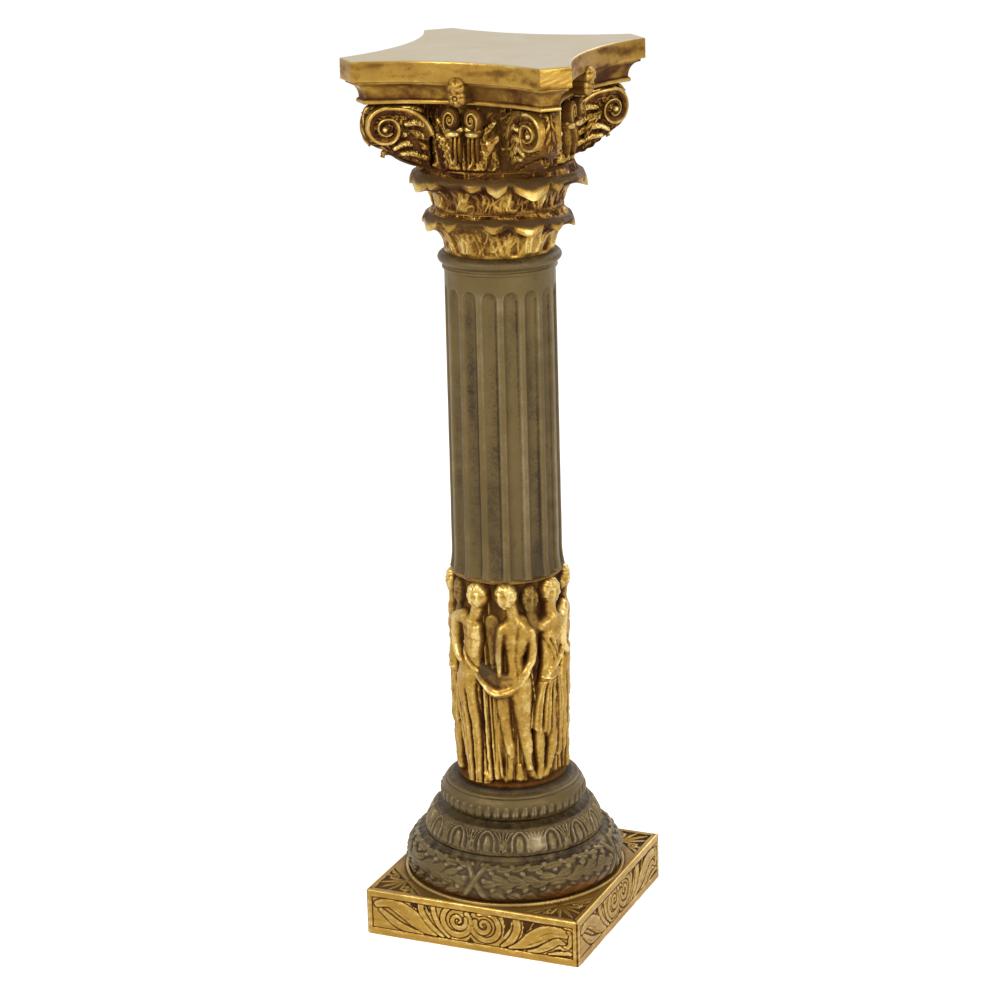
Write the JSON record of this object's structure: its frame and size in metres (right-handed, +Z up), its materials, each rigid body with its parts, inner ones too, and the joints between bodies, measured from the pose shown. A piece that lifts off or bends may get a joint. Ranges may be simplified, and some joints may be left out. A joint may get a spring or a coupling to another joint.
{
  "type": "pedestal column stand",
  "caption": "Gilded and bronzed column pedestal with a fluted shaft, a figured drum, a leafy capital with corner scrolls and a flat hollow-sided top on a square plinth.",
  "frame": {"origin": "bottom centre of the square plinth, on the floor", "axes": "+Z up along the column; the plinth's sides face X and Y, and -Y is the side that the picture shows widest"},
  "size_m": [0.254, 0.254, 0.96],
  "materials": {
    "gold_leaf": "gloss",
    "bronze_patina": "satin",
    "steel": "satin"
  },
  "bodies": {
    "root": {"plinth": "gold_leaf", "figure_drum": "gold_leaf", "lower_leaf_ring": "gold_leaf", "upper_leaf_ring": "gold_leaf", "capital_bell": "gold_leaf", "abacus": "gold_leaf", "abacus_flowers": "gold_leaf", "drum_figure_1": "gold_leaf", "drum_figure_2": "gold_leaf", "drum_figure_3": "gold_leaf", "drum_figure_4": "gold_leaf", "drum_figure_5": "gold_leaf", "drum_figure_6": "gold_leaf", "drum_figure_7": "gold_leaf", "drum_figure_8": "gold_leaf", "corner_volute_1": "gold_leaf", "corner_volute_2": "gold_leaf", "corner_volute_3": "gold_leaf", "corner_volute_4": "gold_leaf", "base_laurel_torus": "bronze_patina", "base_leaf_band": "bronze_patina", "base_upper_torus": "bronze_patina", "shaft": "bronze_patina", "tie_rod": "steel", "rod_nuts": "steel", "rod_washers": "steel"}
  },
  "joints": []
}
